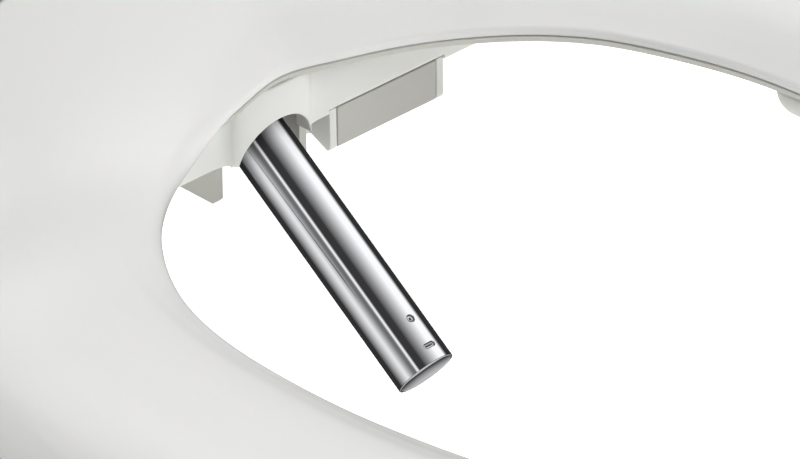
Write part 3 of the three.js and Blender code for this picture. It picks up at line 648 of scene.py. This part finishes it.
def makeApron():
    radius, corner = apronUser["hoodRadius"], apronUser["corner"]
    x = apronStations()
    past = np.clip(np.abs(x) - (apronUser["half"] - corner), 0, corner)
    edge = corner - np.sqrt(np.clip(corner ** 2 - past ** 2, 0, None))
    front = apronUser["front"] - hoodOut(x) + edge
    back = np.full_like(x, apronUser["back"])
    straight = np.full_like(x, apronUser["bottom"])
    start, end, notchHeight = apronUser["notch"]
    straight = np.where((x >= start) & (x <= end), notchHeight, straight)
    rim = np.maximum(archHeight(x, front, radius), straight)
    rear = np.maximum(archHeight(x, back, radius), straight)
    topRise = smoothStep((30 - np.abs(x)) / 12)
    top = apronUser["sideTop"] + (apronUser["middleTop"] - apronUser["sideTop"]) * topRise
    # section from the back's top down, round the lower edge, and up the front
    lip = 0.5
    layers = [
        (back, top - 0.6), (back, rear + 2), (back, rear + lip), (back - 0.15, rear + 0.15),
        (back - lip, rear + 0.0), (front + 1.2 * lip, rim + 0.0), (front + 0.45 * lip, rim + 0.1),
        (front, rim + lip),
        (front, rim + 1.4), (front, rim * 0.5 + top * 0.5), (front, top - 0.6), (front + 0.2, top - 0.15),
        (front + 0.8, top), (back - 0.5, top), (back - 0.1, top - 0.2),
    ]
    rows = np.stack([np.stack([x, y, z], -1) for y, z in layers], 1)
    count = rows.shape[1]
    faces = gridFaces(len(x), count, False, True)
    faces.append(list(range(count)))
    faces.append(list(range((len(x) - 1) * count, len(x) * count))[::-1])
    finishPiece(makeMesh("apronHood", rows.reshape(-1, 3), faces, 55), "unit", "white_satin", "front_apron")
    # the sloping panel that hides the works under the seat's rear
    slope = [(-61.6, 14.2), (-13.5, 46.8), (-13.5, 49.0), (-61.6, 15.6)]
    for name, x0, x1 in (("slopePanelRight", -84, 22), ("slopePanelLeft", 22.3, 84)):
        finishPiece(prismAlongX(name, slope, x0, x1, 0.4), "unit", "white_satin")


makeApron()
print("apron made")


# the warm-air outlet: its duct with a cheek each side, and the flap across it

outletUser = {
    "cheeks": (26.6, 29.6, 72.5, 75.5), "front": -62.0, "bottom": -15.6, "corner": 1.7,
    "flap": (29.9, 72.2, -14.9, -1.2, 1.8),
}


def makeOutlet():
    x0, x1, x2, x3 = outletUser["cheeks"]
    front, bottom, corner = (outletUser[k] for k in ("front", "bottom", "corner"))
    nose = arcPoints((front + corner, bottom + corner), corner, 180, 270, 9)
    outer = nose + [(-36, -4), (-24, 6), (-9, 22), (-9, 41.5), (-14, 41.5), (-52, 12), (-58.6, 4),
                    (-58.6, -1.1), (front + 0.2, -1.1)]
    inner = [(-64, -18), (-59.9, -18), (-59.9, -13.6), (-37.2, -1.4), (-25.6, 9.2), (-8, 25), (-8, 38.8),
             (-13.4, 38.8), (-50, 10.2), (-60.2, -0.9), (-64, -0.9)]
    duct = prismAlongX("outletDuct", outer, x0, x3, 0.3)
    duct.modifiers.clear()
    cutWith(duct, prismAlongX("cutter", inner, x1, x2, 0.0))
    roundEdges(duct, 0.3, 2)
    finishPiece(duct, "unit", "white_satin", "dryer_duct")
    left, right, low, high, thick = outletUser["flap"]
    outline = [(front, low), (front + thick, low), (front + thick, high), (front, high)]
    finishPiece(prismAlongX("outletFlap", outline, left, right, 0.35), "flap", "grey_plastic", "dryer_flap")


makeOutlet()
print("outlet made")


# the wash nozzle, in its own frame: s runs back up the tube, n away from its underside

def alongTube(x, s, n):
    _, exitY, exitZ = nozzleUser["exit"]
    y = exitY + s * tiltCos - n * tiltSin + 0 * x
    z = exitZ + s * tiltSin + n * tiltCos + 0 * x
    return np.stack([x + 0 * s, y, z], -1)


# surface of revolution about the tube's axis from a profile of (s, r) points, closed at both poles
def turnedTube(name, profile, steps):
    angles = np.arange(steps) * 2 * math.pi / steps
    s, r = np.array(profile)[1:-1].T
    points = alongTube(np.sin(angles)[:, None] * r, s + 0 * angles[:, None], np.cos(angles)[:, None] * r)
    count = len(s)
    poles = [alongTube(0.0, np.float64(profile[0][0]), 0.0), alongTube(0.0, np.float64(profile[-1][0]), 0.0)]
    faces = gridFaces(steps, count, True, False)
    for i in range(steps):
        j = (i + 1) % steps
        faces.append([steps * count, i * count, j * count])
        faces.append([steps * count + 1, j * count + count - 1, i * count + count - 1])
    return makeMesh(name, np.concatenate([points.reshape(-1, 3), poles]), faces, 30)


# round-ended outline across the tube: straight sides of half length L, ends of radius r
def slotOutline(halfLength, radius, steps):
    angles = ((np.arange(steps) + 0.5) / steps - 0.5) * math.pi
    right = np.stack([halfLength + radius * np.cos(angles), radius * np.sin(angles)], -1)
    return np.concatenate([right, -right])


# ring of round or slot outline whose section is a list of (radius, height) points
def sprayRing(name, place, halfLength, section):
    rows = []
    for radius, height in section:
        outline = slotOutline(halfLength, radius, 20)
        rows.append(alongTube(outline[:, 0], place + outline[:, 1], np.full(len(outline), height)))
    points = np.stack(rows, 1)
    return makeMesh(name, points.reshape(-1, 3), gridFaces(points.shape[0], len(section), True, True), 50)


def sprayCutter(place, halfLength, radius):
    outline = slotOutline(halfLength, radius, 24)
    low = alongTube(outline[:, 0], place + outline[:, 1], np.full(len(outline), 6.0))
    high = alongTube(outline[:, 0], place + outline[:, 1], np.full(len(outline), 12.0))
    count = len(outline)
    faces = [list(range(count))[::-1], list(range(count, 2 * count))]
    faces += [[i, (i + 1) % count, count + (i + 1) % count, count + i] for i in range(count)]
    return makeMesh("cutter", np.concatenate([low, high]), faces)


# shading normals of the tube's outer face point straight away from its axis, so the cuts
# don't mark it
def shadeAsCylinder(tube):
    mesh = tube.data
    corners = np.empty(len(mesh.loops), np.int32)
    mesh.loops.foreach_get("vertex_index", corners)
    points, normals = np.empty(len(mesh.vertices) * 3), np.empty(len(mesh.loops) * 3)
    mesh.vertices.foreach_get("co", points)
    mesh.corner_normals.foreach_get("vector", normals)
    normals = normals.reshape(-1, 3)
    _, exitY, exitZ = nozzleUser["exit"]
    apart = points.reshape(-1, 3) / toMetres - np.array([0, exitY, exitZ])
    axis = np.array([0, tiltCos, tiltSin])
    straight = apart - (apart @ axis)[:, None] * axis
    away = straight / np.maximum(np.linalg.norm(straight, axis=1), 1e-6)[:, None]
    for face in mesh.polygons:
        own = list(face.loop_indices)
        vertices = corners[own]
        outside = np.linalg.norm(straight[vertices], axis=1).min() > nozzleUser["radius"] - 0.02
        if outside and abs(np.array(face.normal) @ axis) < 0.02:
            normals[own] = away[vertices]
    mesh.normals_split_custom_set(normals.tolist())


def makeNozzle():
    out, inside, radius, bore = (nozzleUser[k] for k in ("out", "inside", "radius", "bore"))
    dish, dishRadius = nozzleUser["dish"], nozzleUser["dishRadius"]
    dishRadii = (0.6, 1.5, 2.7, 3.9, 5.1, 6.3, 7.4, 8.4)
    profile = [
        (-out + 0.9, 0), *[(-out + 0.25 + dish * (1 - (r / dishRadius) ** 2), r) for r in dishRadii],
        (-out + 0.25, dishRadius), (-out + 0.12, 9.15), (-out, 9.22), (-out, 9.35),
        (-out + 0.08, 9.52), (-out + 0.3, radius), (-out + 10, radius), (-out + 20, radius), (-40, radius),
        (0, radius), (inside - 0.3, radius), (inside, 9.3), (inside, 7.6), (inside - 0.2, bore), (0, bore),
        (-out + 3.3, bore), (-out + 3.0, 7.1), (-out + 3.0, 0),
    ]
    tube = turnedTube("washTube", profile, 192)
    roundPlace, slotPlace = -out + nozzleUser["round"], -out + nozzleUser["slot"]
    cutWith(tube, sprayCutter(roundPlace, 0.0, 1.4))
    cutWith(tube, sprayCutter(slotPlace, 1.25, 0.95))
    shadeAsCylinder(tube)
    finishPiece(tube, "nozzle", "chrome_tube", "nozzle_tube")
    ringSection = [(0.42, 7.8), (0.42, 9.05), (0.5, 9.15), (1.12, 9.15), (1.24, 9.03), (1.24, 7.8)]
    finishPiece(sprayRing("sprayRound", roundPlace, 0.0, ringSection), "nozzle", "steel", "spray_insert_round")
    slotSection = [(0.2, 7.8), (0.2, 8.95), (0.28, 9.03), (0.7, 9.03), (0.8, 8.93), (0.8, 7.8)]
    finishPiece(sprayRing("spraySlot", slotPlace, 1.2, slotSection), "nozzle", "steel", "spray_insert_slot")


makeNozzle()
print("nozzle made")


# every other node: its own shape, edges rounded to suit the moulding or turning

edgeWidths = {
    "top_cover": (4.0, 5), "base_tray": (0.8, 2), "hinge_barrel": (0.8, 3), "console_case": (1.6, 4),
    "console_fascia": (0.9, 3), "nozzle_guide": (0.6, 3), "pressure_dial": (1.2, 4),
    "mounting_plate": (0.6, 2), "odour_filter_tray": (0.7, 3),
    "release_button": (0.9, 3), "water_heater": (2.0, 3), "inlet_valve": (1.2, 3), "power_module": (1.0, 2),
    "control_board": (0.2, 1), "console_board": (0.2, 1), "drive_pinion": (0.12, 1), "nozzle_rack": (0.12, 1),
    "seat_heater_foil": (0.1, 1), "blower_impeller": (0.2, 1),
}
for keyName in ("stop_key", "rear_wash_key", "front_wash_key", "dryer_key"):
    edgeWidths[keyName] = (1.0, 4)

madeByHand = {
    "seat_top_shell", "seat_bottom_shell", "lid_shell", "front_apron", "nozzle_tube", "spray_insert_round",
    "spray_insert_slot", "dryer_duct", "dryer_flap",
}
for nodeName in sorted(frame["nodes"]):
    if nodeName not in madeByHand and not nodeName.startswith("seat_bumper"):
        softenNode(nodeName, *edgeWidths.get(nodeName, (0.5, 2)))
print("other pieces made")


# floor, lights and surroundings

stageUser = {"floorHeight": -0.078, "floorSize": 4.0, "floorColour": (0.93, 0.93, 0.93),
             "floorGlow": 0.65, "fullGlow": 1.0, "glowRise": (0.7, 1.7)}


def makeFloor(user):
    half = user["floorSize"] / 2
    mesh = bpy.data.meshes.new("floor")
    z = user["floorHeight"]
    corners = [(-half, -half, z), (half, -half, z), (half, half, z), (-half, half, z)]
    mesh.from_pydata(corners, [], [(0, 1, 2, 3)])
    floor = bpy.data.objects.new("floor", mesh)
    scene.collection.objects.link(floor)
    material, nodes, links, shader = newMaterial("paleFloor")
    shader.inputs["Base Color"].default_value = (*user["floorColour"], 1)
    shader.inputs["Roughness"].default_value = 0.9
    shader.inputs["Emission Color"].default_value = (1, 1, 1, 1)
    # seen directly, the glow rises with the distance from the object, so the floor has no edge
    coords, sight = nodes.new("ShaderNodeTexCoord"), nodes.new("ShaderNodeLightPath")
    distance, rise = nodes.new("ShaderNodeVectorMath"), nodes.new("ShaderNodeMapRange")
    distance.operation = "LENGTH"
    setRange(rise, user["glowRise"], (user["floorGlow"], user["fullGlow"]))
    glow = nodes.new("ShaderNodeMix")
    glow.inputs["A"].default_value = user["floorGlow"]
    links.new(coords.outputs["Object"], distance.inputs[0])
    links.new(distance.outputs["Value"], rise.inputs["Value"])
    links.new(sight.outputs["Is Camera Ray"], glow.inputs["Factor"])
    links.new(rise.outputs["Result"], glow.inputs["B"])
    links.new(glow.outputs["Result"], shader.inputs["Emission Strength"])
    mesh.materials.append(material)
    floor.visible_glossy = False


# each light: its place and width in metres, and its watts
lightUser = {
    "keyLight": ((0.9, -1.2, 0.8), 1.0, 12.0),
    "topLight": ((0.0, 0.1, 1.9), 1.5, 21.5),
    "leftBackLight": ((-0.5, 1.1, 1.7), 1.0, 11.6),
    "rightBackLight": ((1.3, 0.2, 1.0), 1.0, 4.0),
}


def addSoftLight(name, place, size, watts):
    data = bpy.data.lights.new(name, "AREA")
    data.shape = "DISK"
    data.size = size
    data.energy = watts
    light = bpy.data.objects.new(name, data)
    light.location = place
    aim = Vector((0.0, -0.15, 0.0)) - Vector(place)
    light.rotation_euler = aim.to_track_quat("-Z", "Y").to_euler()
    light.visible_glossy = False
    scene.collection.objects.link(light)


# Surroundings that polished parts see: three upright soft panels hung round the tube's own axis.
# A panel is fully bright between two angles round the axis, in degrees, and fades to the gap on
# either side of it over its two feathers, by a power of the way in.
panelUser = {
    "full": ((-68, -62), (-19, -16), (79, 103)), "feathers": ((50, 28), (6, 6), (66, 16)),
    "levels": (0.82, 0.94, 1.04), "gaps": (0.03, 0.16, 0.04, 0.03), "fade": 1.25, "steps": 4,
}
surroundUser = {
    "diffuse": 0.05, "camera": 1.0, "tipRange": (0.14, 0.52), "tipLevels": (0.05, 0.72), "past": (-0.08, 0.0),
}


# brightness stops of (angle, level) along the panels, from the angle behind the tube and back to it
def panelStops(user):
    gaps, shares = user["gaps"], np.linspace(0, 1, user["steps"])
    stops = [(-180, gaps[0])]
    for panel, level in enumerate(user["levels"]):
        (start, end), (featherIn, featherOut) = user["full"][panel], user["feathers"][panel]
        before, after = gaps[panel], gaps[panel + 1]
        stops += [(start - featherIn * (1 - t), before + (level - before) * t ** user["fade"]) for t in shares]
        stops += [(end + featherOut * (1 - t), after + (level - after) * t ** user["fade"]) for t in shares[::-1]]
    return stops + [(180, gaps[-1])]


def makeSurroundings():
    world = bpy.data.worlds.new("studio")
    scene.world = world
    world.use_nodes = True
    nodes, links = world.node_tree.nodes, world.node_tree.links
    axis = Vector((0.0, -tiltCos, -tiltSin))
    right, up, back = viewAxes(cameraUser["azimuth"], cameraUser["elevation"])
    ahead = (back - axis * back.dot(axis)).normalized()
    across = axis.cross(ahead)
    if across.dot(right) < 0:
        across = -across
    direction = nodes.new("ShaderNodeTexCoord").outputs["Generated"]

    def dotWith(vector):
        dot = nodes.new("ShaderNodeVectorMath")
        dot.operation = "DOT_PRODUCT"
        dot.inputs[1].default_value = vector
        links.new(direction, dot.inputs[0])
        return dot.outputs["Value"]

    angle = nodes.new("ShaderNodeMath")
    angle.operation = "ARCTAN2"
    links.new(dotWith(across), angle.inputs[0])
    links.new(dotWith(ahead), angle.inputs[1])
    spread = nodes.new("ShaderNodeMapRange")
    setRange(spread, (-math.pi, math.pi), (0.0, 1.0))
    links.new(angle.outputs[0], spread.inputs["Value"])
    ramp = nodes.new("ShaderNodeValToRGB")
    elements, stops = ramp.color_ramp.elements, panelStops(panelUser)
    while len(elements) < len(stops):
        elements.new(0.5)
    for element, (degrees, level) in zip(elements, stops):
        element.position = (degrees + 180) / 360
        element.color = (level, level, level * 1.01, 1)
    links.new(spread.outputs["Result"], ramp.inputs["Fac"])
    # past the tube's tip: dark beside the axis, growing to bright ahead of it
    tipPanel = nodes.new("ShaderNodeMapRange")
    setRange(tipPanel, surroundUser["tipRange"], surroundUser["tipLevels"])
    along = dotWith(axis)
    links.new(along, tipPanel.inputs["Value"])
    past = nodes.new("ShaderNodeMapRange")
    setRange(past, surroundUser["past"], (0.0, 1.0))
    links.new(along, past.inputs["Value"])
    panel = nodes.new("ShaderNodeMix")
    panel.data_type = "RGBA"
    links.new(past.outputs["Result"], panel.inputs[0])
    links.new(ramp.outputs["Color"], panel.inputs[6])
    links.new(tipPanel.outputs["Result"], panel.inputs[7])
    glossy = nodes.new("ShaderNodeBackground")
    links.new(panel.outputs[2], glossy.inputs["Color"])
    soft = nodes.new("ShaderNodeBackground")
    soft.inputs["Color"].default_value = (1, 1, 0.995, 1)
    soft.inputs["Strength"].default_value = surroundUser["diffuse"]
    plain = nodes.new("ShaderNodeBackground")
    plain.inputs["Color"].default_value = (1, 1, 1, 1)
    plain.inputs["Strength"].default_value = surroundUser["camera"]
    path = nodes.new("ShaderNodeLightPath")
    first, second = nodes.new("ShaderNodeMixShader"), nodes.new("ShaderNodeMixShader")
    links.new(path.outputs["Is Glossy Ray"], first.inputs["Fac"])
    links.new(soft.outputs[0], first.inputs[1])
    links.new(glossy.outputs[0], first.inputs[2])
    links.new(path.outputs["Is Camera Ray"], second.inputs["Fac"])
    links.new(first.outputs[0], second.inputs[1])
    links.new(plain.outputs[0], second.inputs[2])
    links.new(second.outputs[0], nodes["World Output"].inputs["Surface"])


makeFloor(stageUser)
for lightName, light in lightUser.items():
    addSoftLight(lightName, *light)
makeSurroundings()
scene.view_settings.view_transform = "Standard"
scene.view_settings.look = "None"
print("stage made")
